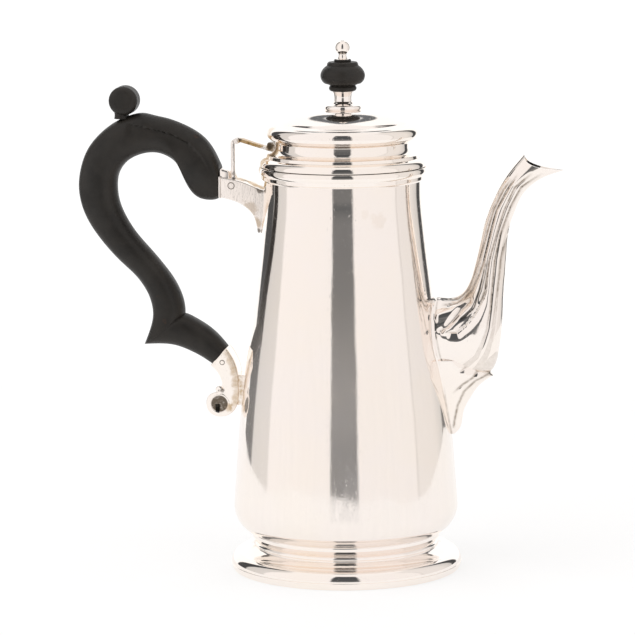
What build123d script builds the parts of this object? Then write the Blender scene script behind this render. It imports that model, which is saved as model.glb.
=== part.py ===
"""Tapering silver coffee pot on a moulded foot, with a hinged lid, a wooden handle and a wooden finial.

The origin is on the pot's axis, on the surface that it stands on. +Z is up, the spout points along +X
and the handle along -X. Lengths are in millimetres.
"""
from build123d import *
from math import cos, radians, sin
import os

os.makedirs("parts", exist_ok=True)

# Sheet and fits
SHEET = 0.9                   # thickness of the raised silver sheet
LID_GAP = 0.3                 # between the pot and the closed lid
BEZEL_GAP = 0.5               # between the bezel and the mouth, radially
PIN_PLAY = 0.05               # between the hinge pin and the lid's knuckle, radially
TENON_PLAY = 0.1              # round the handle's tenons

# Body
MOUTH_R = 35.9                # outside radius of the wall at the mouth
MOUTH_Z = 183.7               # the line between the pot and its lid
TUCK_R = 12.9                 # radius of the turn at the body's base
TUCK_CENTRE = (38.0, 29.0)
BASE_Z = 16.9                 # top of the foot, where the body is soldered on
BASE_PLATE_R = 41.0

# Hinge
HINGE_X = -48.2
HINGE_Z = 194.7
KNUCKLE_R = 1.35
PIN_R = 0.6
HINGE_WIDTH = 5.6             # of the three knuckles together
LID_KNUCKLE = 2.0             # length of the middle knuckle
HINGE_GAP = 0.3

# Handle and its sockets
WOOD_WIDTH = 16.0
SOCKET_WIDTH = 13.0
WOOD_END_X = -56.0            # the wood meets the upper socket here
UPPER_PIN = (-50.2, 174.9)
UPPER_PIN_R = 1.25
LOWER_PIN = (-55.3, 94.2)
LOWER_PIN_R = 0.85
LOWER_END = ((-60.7, 92.9), (-53.6, 100.9))   # the wood's lower end, from below to above

# Finial
BOLT_R = 1.2
LID_TOP_Z = 208.8
KNOP_Z = 217.3
WASHER_Z = 230.4
BALL_R = 3.3
TOP_Z = 240.0

# Spout: a point on its inner side, the point opposite on its outer side, and the half width there
SPOUT_WALL = 1.2
SPOUT_POINTS = 12             # round each section
SPOUT = [
    ((30.0, 124.6), (30.0, 87.6), 12.6),
    ((44.0, 124.4), (54.0, 87.8), 12.4),
    ((51.0, 125.2), (66.5, 89.6), 11.6),
    ((55.8, 129.8), (70.8, 100.5), 10.4),
    ((58.6, 137.6), (72.4, 115.0), 9.0),
    ((60.4, 145.0), (72.8, 130.0), 7.8),
    ((61.9, 152.0), (73.7, 146.0), 6.9),
    ((64.0, 160.2), (75.2, 157.5), 6.0),
    ((66.9, 167.6), (77.4, 163.8), 5.5),
    ((70.5, 175.0), (80.2, 170.2), 5.2),
    ((74.6, 181.4), (84.2, 175.0), 5.1),
    ((79.4, 187.2), (90.0, 178.9), 5.0),
    ((85.0, 193.5), (98.9, 182.1), 4.4),
]
STRAINER_HOLE_R = 1.5
STRAINER_Z = 106.0


def bow(start, end, rise):
    """Arc that stands out by rise to the right of the way from start to end."""
    first = Vector(*start)
    last = Vector(*end)
    along = (last - first).normalized()
    side = Vector(along.Y, -along.X)
    return ThreePointArc(first, (first + last) / 2 + side * rise, last)


def wall_line(inset, base_angle):
    """Side of the body from the turn at its base up to its mouth, set in by inset."""
    turn = CenterArc(TUCK_CENTRE, TUCK_R - inset, base_angle, 4 - base_angle)
    side = Spline(
        turn @ 1,
        (47.9 - inset, 68),
        (44.2 - inset, 99.5),
        (40.1 - inset, 132),
        (36.75 - inset, 160),
        (MOUTH_R - inset, 172),
        tangents=[(-0.07, 1), (0, 1)],
    )
    Line(side @ 1, (MOUTH_R - inset, MOUTH_Z - LID_GAP / 2))
    return turn @ 0


def lid_line():
    """Outside of the lid from its rim up to the flat under the finial."""
    Line((34.6, 187.6), (34.2, 189.2))
    bow((34.2, 189.2), (30.2, 192.2), -1.0)
    Polyline((30.2, 192.2), (30.2, 194.6), (31.2, 195.5))
    bow((31.2, 195.5), (32.2, 201.9), 2.6)
    bow((32.2, 201.9), (30.6, 202.6), -0.15)
    bow((30.6, 202.6), (28.6, 203.9), -0.2)
    bow((28.6, 203.9), (8.3, LID_TOP_Z), 1.5)


def write(piece, name):
    piece.part.label = name
    export_step(piece.part, "parts/" + name + ".step")


# ---- Forms that other pieces are cut to ---------------------------------------------------------------

with BuildPart() as body_form:
    with BuildSketch(Plane.XZ):
        with BuildLine():
            turn_start = wall_line(0, -67.3)
            Polyline((MOUTH_R, MOUTH_Z - LID_GAP / 2), (0, MOUTH_Z - LID_GAP / 2), (0, 16), turn_start)
        make_face()
    revolve(axis=Axis.Z)

with BuildPart() as lid_form:
    with BuildSketch(Plane.XZ):
        with BuildLine():
            lid_line()
            Polyline((8.3, LID_TOP_Z), (0, LID_TOP_Z), (0, 187.6), (34.6, 187.6))
        make_face()
    revolve(axis=Axis.Z)

# ---- Body -------------------------------------------------------------------------------------------

with BuildPart() as body_wall:
    with BuildSketch(Plane.XZ):
        with BuildLine():
            outer_start = wall_line(0, -67.3)
            inner_start = wall_line(SHEET, -67.6)
            Line((MOUTH_R, MOUTH_Z - LID_GAP / 2), (MOUTH_R - SHEET, MOUTH_Z - LID_GAP / 2))
            Polyline(
                outer_start,
                (outer_start.X - 0.4, BASE_Z),
                (BASE_PLATE_R, BASE_Z),
                (BASE_PLATE_R, inner_start.Y),
                inner_start,
            )
        make_face()
    revolve(axis=Axis.Z)
    with BuildSketch(Plane.YZ.offset(MOUTH_R)):
        with Locations((0, STRAINER_Z)):
            with HexLocations(2.6, 4, 5):
                Circle(STRAINER_HOLE_R)
    extrude(amount=14, mode=Mode.SUBTRACT)
write(body_wall, "body_wall")

with BuildPart() as bottom_plate:
    with BuildSketch(Plane.XY.offset(BASE_Z)):
        Circle(BASE_PLATE_R)
    extrude(amount=SHEET + 0.1)
write(bottom_plate, "bottom_plate")

with BuildPart() as rim_moulding:
    with BuildSketch(Plane.XZ):
        with BuildLine():
            bow((MOUTH_R, 176.7), (36.9, 178.2), -0.2)
            Line((36.9, 178.2), (37.1, 179.9))
            bow((37.1, 179.9), (37.6, MOUTH_Z - LID_GAP / 2), 0.7)
            Polyline(
                (37.6, MOUTH_Z - LID_GAP / 2),
                (MOUTH_R, MOUTH_Z - LID_GAP / 2),
                (MOUTH_R, 176.7),
            )
        make_face()
    revolve(axis=Axis.Z)
write(rim_moulding, "rim_moulding")

# ---- Foot -------------------------------------------------------------------------------------------

with BuildPart() as foot_ring:
    with BuildSketch(Plane.XZ):
        with BuildLine():
            bow((52.4, 3.1), (50.2, 7.5), 0.7)
            Line((50.2, 7.5), (49.0, 8.0))
            bow((49.0, 8.0), (41.9, 10.6), -0.8)
            Line((41.9, 10.6), (41.9, 11.0))
            bow((41.9, 11.0), (41.3, 13.0), 0.45)
            Line((41.3, 13.0), (40.7, 13.3))
            bow((40.7, 13.3), (42.4, BASE_Z), 0.9)
            Polyline((42.4, BASE_Z), (39.8, BASE_Z), (39.8, 10.6))
            bow((39.8, 10.6), (48.0, 6.5), 0.9)
            Polyline((48.0, 6.5), (51.0, 3.1), (52.4, 3.1))
        make_face()
    revolve(axis=Axis.Z)
write(foot_ring, "foot_ring")

with BuildPart() as foot_band:
    with BuildSketch(Plane.XZ):
        with BuildLine():
            Polyline((52.6, 3.1), (50.0, 3.1), (50.0, 0.4), (50.4, 0), (51.4, 0), (51.8, 0.3))
            bow((51.8, 0.3), (52.6, 3.1), 0.15)
        make_face()
    revolve(axis=Axis.Z)
write(foot_band, "foot_band")

# ---- Lid --------------------------------------------------------------------------------------------

BEZEL_R = MOUTH_R - SHEET - BEZEL_GAP
LID_Z = MOUTH_Z + LID_GAP / 2

with BuildPart() as lid_rim:
    with BuildSketch(Plane.XZ):
        with BuildLine():
            bow((37.5, LID_Z), (35.2, 187.4), 0.8)
            Polyline((35.2, 187.4), (34.6, 187.6), (BEZEL_R, 187.6), (BEZEL_R, LID_Z), (37.5, LID_Z))
        make_face()
    revolve(axis=Axis.Z)
write(lid_rim, "lid_rim")

with BuildPart() as lid_bezel:
    with BuildSketch(Plane.XZ):
        with BuildLine():
            Polyline(
                (BEZEL_R, 187.6),
                (BEZEL_R, LID_Z),
                (BEZEL_R - 1.3, 178.7),
                (BEZEL_R - 2.1, 178.7),
                (BEZEL_R - 0.9, LID_Z),
                (BEZEL_R - 0.9, 187.6),
                close=True,
            )
        make_face()
    revolve(axis=Axis.Z)
write(lid_bezel, "lid_bezel")

with BuildPart() as lid_dome:
    with BuildSketch(Plane.XZ):
        with BuildLine():
            lid_line()
            Polyline((8.3, LID_TOP_Z), (BOLT_R, LID_TOP_Z), (BOLT_R, LID_TOP_Z - SHEET),
                     (8.3, LID_TOP_Z - SHEET))
            bow((8.3, LID_TOP_Z - SHEET), (27.8, 203.0), -1.4)
            Line((27.8, 203.0), (31.4, 201.2))
            bow((31.4, 201.2), (30.4, 196.3), -2.0)
            Polyline((30.4, 196.3), (29.2, 195.2), (29.2, 191.4))
            bow((29.2, 191.4), (33.0, 188.5), 0.9)
            Polyline((33.0, 188.5), (33.6, 187.6), (34.6, 187.6))
        make_face()
    revolve(axis=Axis.Z)
write(lid_dome, "lid_dome")

# ---- Finial -----------------------------------------------------------------------------------------

with BuildPart() as finial_base:
    with BuildSketch(Plane.XZ):
        with BuildLine():
            Polyline((BOLT_R, LID_TOP_Z), (7.9, LID_TOP_Z))
            bow((7.9, LID_TOP_Z), (7.7, 211.0), 0.5)
            bow((7.7, 211.0), (4.5, 212.4), -0.5)
            Polyline((4.5, 212.4), (4.0, 212.8))
            bow((4.0, 212.8), (4.9, KNOP_Z), -0.4)
            Polyline((4.9, KNOP_Z), (BOLT_R, KNOP_Z), (BOLT_R, LID_TOP_Z))
        make_face()
    revolve(axis=Axis.Z)
write(finial_base, "finial_base")

with BuildPart() as finial_knop:
    with BuildSketch(Plane.XZ):
        with BuildLine():
            Line((BOLT_R, KNOP_Z), (5.2, KNOP_Z))
            bow((5.2, KNOP_Z), (5.6, 219.7), 0.8)
            bow((5.6, 219.7), (8.0, 220.7), -0.2)
            Spline((8.0, 220.7), (10.0, 224.2), (7.0, 228.8), tangents=[(1, 0.5), (-1, 0.6)])
            bow((7.0, 228.8), (6.2, WASHER_Z), 0.3)
            Polyline((6.2, WASHER_Z), (BOLT_R, WASHER_Z), (BOLT_R, KNOP_Z))
        make_face()
    revolve(axis=Axis.Z)
write(finial_knop, "finial_knop")

with BuildPart() as finial_washer:
    with BuildSketch(Plane.XY.offset(WASHER_Z)):
        Circle(3.8)
        Circle(BOLT_R, mode=Mode.SUBTRACT)
    extrude(amount=1.1)
    fillet(finial_washer.edges().group_by(Axis.Z)[-1].sort_by(SortBy.RADIUS)[-1], 0.4)
write(finial_washer, "finial_washer")

with BuildPart() as finial_cap:
    with BuildSketch(Plane.XZ):
        with BuildLine():
            ball = CenterArc((0, TOP_Z - BALL_R), BALL_R, -55, 145)
            Polyline((0, TOP_Z), (0, 203.6), (BOLT_R, 203.6), (BOLT_R, WASHER_Z + 1.1), (2.9, WASHER_Z + 1.1))
            bow((2.9, WASHER_Z + 1.1), ball @ 0, -0.5)
        make_face()
    revolve(axis=Axis.Z)
write(finial_cap, "finial_cap")

with BuildPart() as finial_nut:
    with BuildSketch(Plane.XY.offset(LID_TOP_Z - SHEET - 2.4)):
        Rectangle(7, 7)
        Circle(BOLT_R, mode=Mode.SUBTRACT)
    extrude(amount=2.4)
    chamfer(finial_nut.edges().filter_by(Axis.Z), 0.6)
write(finial_nut, "finial_nut")

# ---- Handle sockets ---------------------------------------------------------------------------------

with BuildPart() as upper_socket:
    with BuildSketch(Plane.XZ):
        with BuildLine():
            Line((WOOD_END_X, 169.7), (WOOD_END_X, 178.7))
            Spline((WOOD_END_X, 178.7), (-44.7, 176.5), (-37, 173.2))
            Line((-37, 173.2), (-30, 173.2))
            Line((-30, 173.2), (-30, 153.6))
            Line((-30, 153.6), (-38.3, 153.6))
            Spline((-38.3, 153.6), (-40.3, 161.6), (-46.6, 167.0), (WOOD_END_X, 169.7))
        make_face()
    extrude(amount=SOCKET_WIDTH / 2, both=True)
    with BuildSketch(Plane.XZ):
        with BuildLine():
            Polyline((WOOD_END_X, 176), (WOOD_END_X, 181.8), (-55.0, 182.6), (-51.2, 181.4), (-51.2, 176),
                     close=True)
        make_face()
    extrude(amount=SOCKET_WIDTH / 2 - 1.2, both=True)
    with BuildSketch(Plane.XZ):
        with BuildLine():
            Polyline((WOOD_END_X, 171.6), (-46.5, 171.6), (-46.5, 176.2), (WOOD_END_X, 176.2), close=True)
        make_face()
    extrude(amount=4, both=True, mode=Mode.SUBTRACT)
    with BuildSketch(Plane.XZ):
        with Locations(UPPER_PIN):
            Circle(UPPER_PIN_R)
    extrude(amount=SOCKET_WIDTH, both=True, mode=Mode.SUBTRACT)
    add(body_form.part, mode=Mode.SUBTRACT)
write(upper_socket, "upper_socket")

with BuildPart() as upper_socket_pin:
    with BuildSketch(Plane.XZ):
        with Locations(UPPER_PIN):
            Circle(UPPER_PIN_R)
    extrude(amount=SOCKET_WIDTH / 2 + 0.2, both=True)
write(upper_socket_pin, "upper_socket_pin")

# The lower tenon runs square to the wood's end.
low, high = (Vector(*point) for point in LOWER_END)
end_middle = (low + high) / 2
end_along = (high - low).normalized()
end_out = Vector(end_along.Y, -end_along.X)


def tenon_outline(play):
    """Corners of the lower tenon in the XZ plane, smaller by play all round."""
    half = 3.0 - play
    reach = 7.5 - play
    return [
        end_middle + end_along * half - end_out * 3,
        end_middle - end_along * half - end_out * 3,
        end_middle - end_along * half + end_out * reach,
        end_middle + end_along * half + end_out * reach,
    ]


with BuildPart() as lower_socket:
    with BuildSketch(Plane.XZ):
        with BuildLine():
            Line(low, high)
            Spline(high, (-51.2, 97.3), (-48.5, 90.5), (-48.0, 84), (-48.1, 78), (-50.6, 71.6), (-56.9, 69.2))
            ThreePointArc((-56.9, 69.2), (-62.9, 75.4), (-57.6, 80.6))
            Line((-57.6, 80.6), (-55.0, 81.8))
            Spline((-55.0, 81.8), (-56.0, 86.5), (-58.0, 90.2), low)
        make_face()
    extrude(amount=SOCKET_WIDTH / 2, both=True)
    for side in (-1, 1):
        with BuildSketch(Plane.XZ.offset(side * SOCKET_WIDTH / 2)):
            with Locations((-56.6, 75.2)):
                Circle(3.8)
        extrude(amount=-side * 1.6, mode=Mode.SUBTRACT)
    with BuildSketch(Plane.XZ):
        with BuildLine():
            Polyline(*tenon_outline(0), close=True)
        make_face()
    extrude(amount=4, both=True, mode=Mode.SUBTRACT)
    with BuildSketch(Plane.XZ):
        with Locations(LOWER_PIN):
            Circle(LOWER_PIN_R)
    extrude(amount=SOCKET_WIDTH, both=True, mode=Mode.SUBTRACT)
    add(body_form.part, mode=Mode.SUBTRACT)
write(lower_socket, "lower_socket")

with BuildPart() as lower_socket_pin:
    with BuildSketch(Plane.XZ):
        with Locations(LOWER_PIN):
            Circle(LOWER_PIN_R)
    extrude(amount=SOCKET_WIDTH / 2 + 0.2, both=True)
write(lower_socket_pin, "lower_socket_pin")

with BuildPart() as lower_wall_pad:
    with BuildSketch(Plane.XZ):
        with BuildLine():
            Polyline((-40, 74.5), (-48.6, 74.5), (-48.6, 88.3), (-40, 88.3), close=True)
        make_face()
    extrude(amount=SOCKET_WIDTH / 2 - 1, both=True)
    add(body_form.part, mode=Mode.SUBTRACT)
    add(lower_socket.part, mode=Mode.SUBTRACT)
write(lower_wall_pad, "lower_wall_pad")

# ---- Hinge ------------------------------------------------------------------------------------------

with BuildPart() as hinge_stand:
    with BuildSketch(Plane.XZ):
        with BuildLine():
            Polyline((-50.8, 177.0), (-50.8, 194.0), (-50.2, 195.2), (-49.0, 195.2), (-49.0, 178.6),
                     (-48.0, 177.0), close=True)
        make_face()
    extrude(amount=HINGE_WIDTH / 2 - 0.3, both=True)
    with BuildSketch(Plane.XZ):
        with Locations((HINGE_X, HINGE_Z)):
            Circle(KNUCKLE_R)
    extrude(amount=HINGE_WIDTH, both=True, mode=Mode.SUBTRACT)
    with BuildSketch(Plane.XZ):
        with Locations((HINGE_X, HINGE_Z)):
            Circle(KNUCKLE_R + HINGE_GAP)
    extrude(amount=LID_KNUCKLE / 2 + HINGE_GAP, both=True, mode=Mode.SUBTRACT)
    add(upper_socket.part, mode=Mode.SUBTRACT)
write(hinge_stand, "hinge_stand")

with BuildPart() as stand_knuckles:
    with BuildSketch(Plane.XZ):
        with Locations((HINGE_X, HINGE_Z)):
            Circle(KNUCKLE_R)
            Circle(PIN_R, mode=Mode.SUBTRACT)
    extrude(amount=HINGE_WIDTH / 2, both=True)
    with BuildSketch(Plane.XZ):
        with Locations((HINGE_X, HINGE_Z)):
            Circle(KNUCKLE_R + HINGE_GAP)
    extrude(amount=LID_KNUCKLE / 2 + HINGE_GAP, both=True, mode=Mode.SUBTRACT)
write(stand_knuckles, "stand_knuckles")

with BuildPart() as lid_knuckle:
    with BuildSketch(Plane.XZ):
        with Locations((HINGE_X, HINGE_Z)):
            Circle(KNUCKLE_R)
            Circle(PIN_R + PIN_PLAY, mode=Mode.SUBTRACT)
    extrude(amount=LID_KNUCKLE / 2, both=True)
write(lid_knuckle, "lid_knuckle")

with BuildPart() as hinge_pin:
    with BuildSketch(Plane.XZ):
        with Locations((HINGE_X, HINGE_Z)):
            Circle(PIN_R)
    extrude(amount=HINGE_WIDTH / 2 + 0.2, both=True)
write(hinge_pin, "hinge_pin")

with BuildPart() as lid_arm:
    with BuildSketch(Plane.XZ):
        with BuildLine():
            Polyline((-48.2, 196.05), (-47.2, 196.0), (-34.6, 192.0), (-34.0, 193.9), (-31.5, 194.2),
                     (-29.5, 191.0), (-29.5, 189.1), (-46.4, 194.2), (-47.4, 193.6), close=True)
        make_face()
    extrude(amount=HINGE_WIDTH / 2 - 0.3, both=True)
    with BuildSketch(Plane.XZ):
        with Locations((HINGE_X, HINGE_Z)):
            Circle(KNUCKLE_R)
    extrude(amount=HINGE_WIDTH, both=True, mode=Mode.SUBTRACT)
    for end in (-1, 1):
        with BuildSketch(Plane.XZ.offset(end * (LID_KNUCKLE / 2))):
            with Locations((HINGE_X, HINGE_Z)):
                Circle(KNUCKLE_R + HINGE_GAP)
        extrude(amount=end * HINGE_WIDTH, mode=Mode.SUBTRACT)
    add(lid_form.part, mode=Mode.SUBTRACT)
write(lid_arm, "lid_arm")

# ---- Handle -----------------------------------------------------------------------------------------

with BuildPart() as handle:
    with BuildSketch(Plane.XZ):
        with BuildLine():
            Line((WOOD_END_X, 169.0), (WOOD_END_X, 184.0))
            Spline((WOOD_END_X, 184.0), (-61.0, 193.6), (-69.5, 200.4), (-81.7, 205.0), (-95.9, 207.3))
            ThreePointArc((-95.9, 207.3), (-99.6, 219.1), (-103.8, 207.7))
            Line((-103.8, 207.7), (-102.9, 203.6))
            Spline(
                (-102.9, 203.6),
                (-112.6, 195.9),
                (-120.0, 182.5),
                (-120.4, 167.8),
                (-114.6, 154.3),
                (-104.3, 141.5),
                (-94.4, 131.9),
                (-88.5, 121.0),
                (-87.9, 111.0),
                (-91.9, 101.4),
            )
            Line((-91.9, 101.4), (-90.2, 101.2))
            Spline((-90.2, 101.2), (-83.8, 101.8), (-71.9, 99.2), low)
            Line(low, high)
            Spline(high, (-61.7, 109.3), (-73.1, 115.7))
            Spline(
                (-73.1, 115.7),
                (-74.2, 123.1),
                (-81.5, 136.2),
                (-92.4, 149.0),
                (-100.8, 161.8),
                (-103.4, 174.7),
                (-99.3, 184.4),
                (-88.0, 189.1),
                (-75.8, 184.6),
                (-71.0, 174.9),
                (-66.2, 168.9),
                (-58.2, 168.0),
            )
            Line((-58.2, 168.0), (WOOD_END_X, 169.0))
        make_face()
    extrude(amount=WOOD_WIDTH / 2, both=True)
    with BuildSketch(Plane.XZ):
        with BuildLine():
            Polyline(
                (WOOD_END_X - 3, 171.6 + TENON_PLAY),
                (-46.5 - TENON_PLAY, 171.6 + TENON_PLAY),
                (-46.5 - TENON_PLAY, 176.2 - TENON_PLAY),
                (WOOD_END_X - 3, 176.2 - TENON_PLAY),
                close=True,
            )
        make_face()
        with BuildLine():
            Polyline(*tenon_outline(TENON_PLAY), close=True)
        make_face()
    extrude(amount=4 - TENON_PLAY, both=True)
    with BuildSketch(Plane.XZ):
        with Locations(UPPER_PIN):
            Circle(UPPER_PIN_R)
        with Locations(LOWER_PIN):
            Circle(LOWER_PIN_R)
    extrude(amount=WOOD_WIDTH, both=True, mode=Mode.SUBTRACT)
write(handle, "handle")

# ---- Spout ------------------------------------------------------------------------------------------


def spout_loft(inset):
    """Solid through the spout's sections, each smaller by inset."""
    angles = [radians(step * 360 / SPOUT_POINTS) for step in range(SPOUT_POINTS)]
    half = SPOUT_POINTS // 2
    with BuildPart() as form:
        for inner, outer, half_width in SPOUT:
            rise = Vector(*inner) - Vector(*outer)
            middle = (Vector(*inner) + Vector(*outer)) / 2
            wide = half_width - inset
            deep = rise.length / 2 - inset
            section = Plane(origin=(middle.X, 0, middle.Y), x_dir=(0, 1, 0), z_dir=(rise.Y, 0, -rise.X))
            points = [(wide * cos(angle), deep * sin(angle)) for angle in angles]
            with BuildSketch(section):
                with BuildLine():
                    Spline(points[:half + 1], tangents=[(0, 1), (0, -1)])
                    Spline(points[half:] + points[:1], tangents=[(0, -1), (0, 1)])
                make_face()
        loft(ruled=True)
    return form.part


spout_form = spout_loft(0)
spout_bore = spout_loft(SPOUT_WALL)

with BuildPart() as spout:
    add(spout_form)
    add(spout_bore, mode=Mode.SUBTRACT)
    with BuildSketch(Plane.XZ):
        with BuildLine():
            Spline((81.2, 189.0), (82.3, 186.7), (85.0, 184.8), (89.6, 183.4), (104, 182.2))
            Polyline((104, 182.2), (104, 205), (70, 205), (70, 189.0), (81.2, 189.0))
        make_face()
    extrude(amount=20, both=True, mode=Mode.SUBTRACT)
    add(body_form.part, mode=Mode.SUBTRACT)

# The spout is cast in two halves and soldered along the middle.
with BuildPart() as spout_right_half:
    add(spout.part)
    split(bisect_by=Plane.XZ, keep=Keep.TOP)
write(spout_right_half, "spout_right_half")

with BuildPart() as spout_left_half:
    add(spout.part)
    split(bisect_by=Plane.XZ, keep=Keep.BOTTOM)
write(spout_left_half, "spout_left_half")

with BuildPart() as spout_drop:
    with BuildSketch(Plane.XZ):
        with BuildLine():
            Spline((67.6, 88.3), (61.4, 84.0), (56.9, 78.0), (53.7, 72.0), (52.3, 64.6), (49.8, 61.8))
            Polyline((49.8, 61.8), (38, 61.8), (38, 92), (62, 92), (67.6, 88.3))
        make_face()
    extrude(amount=20, both=True)
    with BuildSketch(Plane.YZ):
        with BuildLine():
            Spline((0.8, 61.8), (3.2, 66), (6.5, 78), (11.5, 96))
            Line((11.5, 96), (-11.5, 96))
            Spline((-11.5, 96), (-6.5, 78), (-3.2, 66), (-0.8, 61.8))
            Line((-0.8, 61.8), (0.8, 61.8))
        make_face()
    extrude(amount=80, mode=Mode.INTERSECT)
    with BuildSketch(Plane.XY.offset(60)):
        with BuildLine():
            Spline((38, 12), (56, 9), (68, 1.5))
            Line((68, 1.5), (68, -1.5))
            Spline((68, -1.5), (56, -9), (38, -12))
            Line((38, -12), (38, 12))
        make_face()
    extrude(amount=40, mode=Mode.INTERSECT)
    add(spout_form, mode=Mode.SUBTRACT)
    add(body_form.part, mode=Mode.SUBTRACT)
write(spout_drop, "spout_drop")
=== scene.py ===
"""Looks of the silver coffee pot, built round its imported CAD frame.

Outlines are in millimetres in the frame's axes: the spout points along +X, the handle along -X and +Z is up.
Every mesh is turned into metres when it is made.
"""
from math import asin, cos, pi, radians, sin

import bmesh
import bpy
import numpy as np
from mathutils import Matrix, Vector


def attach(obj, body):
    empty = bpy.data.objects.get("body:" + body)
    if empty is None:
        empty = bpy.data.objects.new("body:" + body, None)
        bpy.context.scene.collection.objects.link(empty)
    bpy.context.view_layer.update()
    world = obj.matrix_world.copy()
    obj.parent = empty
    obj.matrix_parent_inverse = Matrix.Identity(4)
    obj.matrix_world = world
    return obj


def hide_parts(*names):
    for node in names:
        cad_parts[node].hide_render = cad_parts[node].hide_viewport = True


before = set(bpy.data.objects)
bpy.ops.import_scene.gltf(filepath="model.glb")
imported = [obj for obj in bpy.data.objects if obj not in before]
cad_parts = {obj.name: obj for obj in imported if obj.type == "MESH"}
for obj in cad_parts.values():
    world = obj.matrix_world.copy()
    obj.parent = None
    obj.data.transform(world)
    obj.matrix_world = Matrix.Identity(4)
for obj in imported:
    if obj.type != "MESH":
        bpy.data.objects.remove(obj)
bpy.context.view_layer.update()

MM = 0.001
AROUND = 240                  # steps round each turned piece
CREASE = 50                   # edges that turn by more degrees than this stay sharp

# Sizes shared with the CAD model
SHEET = 0.9                   # thickness of the body's and the lid's wall
MOUTH_R = 35.9
MOUTH_Z = 183.7
LID_GAP = 0.3
LID_Z = MOUTH_Z + LID_GAP / 2
BODY_TOP = MOUTH_Z - LID_GAP / 2
BASE_Z = 16.9
BEZEL_R = 34.5
LID_TOP_Z = 208.8
KNOP_Z = 217.3
WASHER_Z = 230.4
TOP_Z = 240.0
BALL_R = 3.3
BOLT_R = 1.2
HINGE = (-48.2, 194.7)
SOCKET_HALF = 6.5             # half the width of both sockets
UPPER_PIN = (-50.2, 174.9)
LOWER_PIN = (-55.3, 94.2)
SCROLL = (-56.6, 75.2)        # middle of the lower socket's scroll
SPOUT_WALL = 1.2
SINK = 0.45                   # how far a soldered piece goes into the body's wall
WELD = 0.000002               # slivers narrower than this, in metres, are closed up after a cut


# ---- Outlines ----

def bow(start, end, rise, steps=10):
    """Arc that stands out by rise to the right of the way from start to end."""
    first, last = np.array(start, float), np.array(end, float)
    chord = np.linalg.norm(last - first)
    along = (last - first) / chord
    side = np.array([along[1], -along[0]]) * np.sign(rise)
    sag = abs(rise)
    radius = (chord ** 2 / 4 + sag ** 2) / (2 * sag)
    centre = (first + last) / 2 + side * (sag - radius)
    sweep = asin(chord / 2 / radius)
    return [centre + radius * (side * cos(turn) + along * sin(turn))
            for turn in np.linspace(-sweep, sweep, steps + 1)]


def arc(centre, radius, start, end, steps=24):
    """Arc from start to end, in degrees."""
    return [np.array(centre) + radius * np.array([cos(turn), sin(turn)])
            for turn in np.radians(np.linspace(start, end, steps + 1))]


def cubic(points, knots=None, start=None, end=None):
    """Function from 0-1 to a cubic spline through the points; start and end are directions there."""
    points = np.array(points, float)
    if knots is None:
        steps = np.linalg.norm(np.diff(points, axis=0), axis=1)
    else:
        steps = np.diff(knots)
    knots = np.concatenate([[0], np.cumsum(steps)])
    slopes = np.diff(points, axis=0) / steps[:, None]
    count = len(points)
    matrix = np.zeros((count, count))
    sides = np.zeros_like(points)
    for i in range(1, count - 1):
        matrix[i, i - 1:i + 2] = steps[i - 1], 2 * (steps[i - 1] + steps[i]), steps[i]
        sides[i] = 6 * (slopes[i] - slopes[i - 1])
    matrix[0, 0] = matrix[-1, -1] = 1
    if start is not None:
        matrix[0, :2] = 2 * steps[0], steps[0]
        sides[0] = 6 * (slopes[0] - np.array(start) / np.linalg.norm(start))
    if end is not None:
        matrix[-1, -2:] = steps[-1], 2 * steps[-1]
        sides[-1] = 6 * (np.array(end) / np.linalg.norm(end) - slopes[-1])
    bends = np.linalg.solve(matrix, sides)

    def spline(shares):
        where = np.atleast_1d(shares) * knots[-1]
        i = np.clip(np.searchsorted(knots, where) - 1, 0, count - 2)
        left = (where - knots[i])[:, None]
        right = (knots[i + 1] - where)[:, None]
        step = steps[i][:, None]
        return ((bends[i] * right ** 3 + bends[i + 1] * left ** 3) / (6 * step)
                + (points[i] / step - bends[i] * step / 6) * right
                + (points[i + 1] / step - bends[i + 1] * step / 6) * left)

    return spline


def curve(points, start=None, end=None, spacing=1.0):
    """Points about every spacing along a cubic spline."""
    length = sum(np.linalg.norm(np.diff(np.array(points, float), axis=0), axis=1))
    return list(cubic(points, start=start, end=end)(np.linspace(0, 1, max(4, round(length / spacing)) + 1)))


def chain(*pieces):
    """Joins runs of points and leaves out doubled ones."""
    points = []
    for piece in pieces:
        for point in piece:
            point = np.array(point, float)
            if not points or np.linalg.norm(point - points[-1]) > 0.01:
                points.append(point)
    return points


def softened(outline, radius, limit=24):
    """A closed outline with each corner sharper than limit, in degrees, turned into a small round."""
    points = []
    count = len(outline)
    for i, corner in enumerate(outline):
        before, after = outline[i - 1] - corner, outline[(i + 1) % count] - corner
        reach_before, reach_after = np.linalg.norm(before), np.linalg.norm(after)
        turn = np.degrees(np.arccos(np.clip(-before @ after / reach_before / reach_after, -1, 1)))
        if turn < limit:
            points.append(corner)
            continue
        first = corner + before / reach_before * min(radius, reach_before * 0.45)
        last = corner + after / reach_after * min(radius, reach_after * 0.45)
        for share in (0, 0.25, 0.5, 0.75, 1):
            points.append((1 - share) ** 2 * first + 2 * share * (1 - share) * corner + share ** 2 * last)
    return points


# ---- Meshes ----

def placed(name, data):
    """A new object in the scene."""
    thing = bpy.data.objects.new(name, data)
    bpy.context.scene.collection.objects.link(thing)
    return thing


def smooth_mesh(name, vertices, faces):
    """A mesh in metres from a shell in millimetres, faces outward and none with more than four corners."""
    mesh = bpy.data.meshes.new(name)
    mesh.from_pydata((np.array(vertices) * MM).tolist(), [], faces)
    shape = bmesh.new()
    shape.from_mesh(mesh)
    bmesh.ops.recalc_face_normals(shape, faces=shape.faces)
    bmesh.ops.triangulate(shape, faces=[face for face in shape.faces if len(face.verts) > 4])
    shape.to_mesh(mesh)
    shape.free()
    mesh.shade_smooth()
    return mesh


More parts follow.
